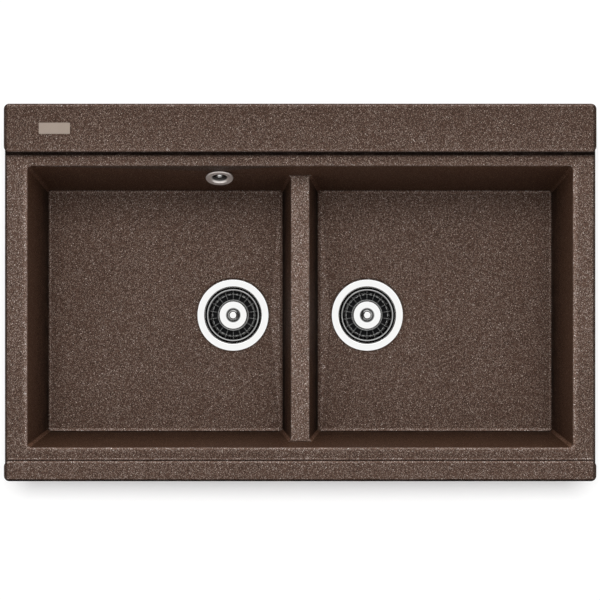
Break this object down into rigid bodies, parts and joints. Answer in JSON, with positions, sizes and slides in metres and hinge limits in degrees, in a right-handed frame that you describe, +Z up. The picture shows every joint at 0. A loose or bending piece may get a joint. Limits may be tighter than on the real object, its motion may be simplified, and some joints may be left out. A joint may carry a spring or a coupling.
{
  "type": "kitchen sink",
  "caption": "Inset granite-composite kitchen sink with bowls parted by a low divider, raised tap ledge, basket strainers, overflow and swinging worktop clamps.",
  "frame": {"origin": "centre of the rim's outline, on the plane of the worktop that the rim rests on", "axes": "+X right along the long side, +Y towards the tap ledge at the back, +Z up out of the worktop"},
  "size_m": [0.78, 0.497, 0.3034],
  "materials": {
    "granite": "satin",
    "polished_steel": "polished",
    "brushed_steel": "brushed",
    "screw_steel": "bright",
    "badge": "matte",
    "rubber": "matte",
    "waste_plastic": "satin",
    "anchor_plastic": "matte",
    "jaw_metal": "cast"
  },
  "bodies": {
    "sink": {"sink_body": "granite", "rim_seal": "rubber", "badge_plate": "badge", "left_flange_cup": "polished_steel", "left_upper_gasket": "rubber", "left_lower_gasket": "rubber", "left_waste_body": "waste_plastic", "left_clamp_bolt": "screw_steel", "right_flange_cup": "polished_steel", "right_upper_gasket": "rubber", "right_lower_gasket": "rubber", "right_waste_body": "waste_plastic", "right_clamp_bolt": "screw_steel", "overflow_rosette": "brushed_steel", "overflow_screw": "screw_steel", "overflow_gasket": "rubber", "overflow_elbow": "waste_plastic", "overflow_pipe": "waste_plastic", "overflow_upper_nut": "waste_plastic", "overflow_lower_nut": "waste_plastic", "overflow_cone_washers": "rubber", "clamp_anchors": "anchor_plastic", "clamp_screws": "screw_steel"},
    "left_basket_set": {"left_basket": "polished_steel", "left_basket_knob": "polished_steel", "left_basket_stem": "screw_steel", "left_basket_stopper": "rubber"},
    "right_basket_set": {"right_basket": "polished_steel", "right_basket_knob": "polished_steel", "right_basket_stem": "screw_steel", "right_basket_stopper": "rubber"},
    "jaw_1": {"clamp_jaw_1": "jaw_metal"},
    "jaw_2": {"clamp_jaw_2": "jaw_metal"},
    "jaw_3": {"clamp_jaw_3": "jaw_metal"},
    "jaw_4": {"clamp_jaw_4": "jaw_metal"},
    "jaw_5": {"clamp_jaw_5": "jaw_metal"},
    "jaw_6": {"clamp_jaw_6": "jaw_metal"},
    "jaw_7": {"clamp_jaw_7": "jaw_metal"},
    "jaw_8": {"clamp_jaw_8": "jaw_metal"}
  },
  "joints": [
    {"name": "left_basket_lift", "type": "slide", "parent": "sink", "child": "left_basket_set", "axis": [0, 0, 1], "range_m": [0, 0.27]},
    {"name": "right_basket_lift", "type": "slide", "parent": "sink", "child": "right_basket_set", "axis": [0, 0, 1], "range_m": [0, 0.27]},
    {"name": "jaw_1_swing", "type": "hinge", "parent": "sink", "child": "jaw_1", "pos_m": [-0.33, -0.2285, -0.047], "axis": [0, 0, -1], "range_deg": [0, 90]},
    {"name": "jaw_2_swing", "type": "hinge", "parent": "sink", "child": "jaw_2", "pos_m": [-0.19, -0.2285, -0.047], "axis": [0, 0, -1], "range_deg": [0, 90]},
    {"name": "jaw_3_swing", "type": "hinge", "parent": "sink", "child": "jaw_3", "pos_m": [0.19, -0.2285, -0.047], "axis": [0, 0, -1], "range_deg": [0, 90]},
    {"name": "jaw_4_swing", "type": "hinge", "parent": "sink", "child": "jaw_4", "pos_m": [0.33, -0.2285, -0.047], "axis": [0, 0, -1], "range_deg": [0, 90]},
    {"name": "jaw_5_swing", "type": "hinge", "parent": "sink", "child": "jaw_5", "pos_m": [-0.33, 0.2285, -0.047], "axis": [0, 0, 1], "range_deg": [0, 90]},
    {"name": "jaw_6_swing", "type": "hinge", "parent": "sink", "child": "jaw_6", "pos_m": [-0.19, 0.2285, -0.047], "axis": [0, 0, 1], "range_deg": [0, 90]},
    {"name": "jaw_7_swing", "type": "hinge", "parent": "sink", "child": "jaw_7", "pos_m": [0.19, 0.2285, -0.047], "axis": [0, 0, 1], "range_deg": [0, 90]},
    {"name": "jaw_8_swing", "type": "hinge", "parent": "sink", "child": "jaw_8", "pos_m": [0.33, 0.2285, -0.047], "axis": [0, 0, 1], "range_deg": [0, 90]}
  ]
}
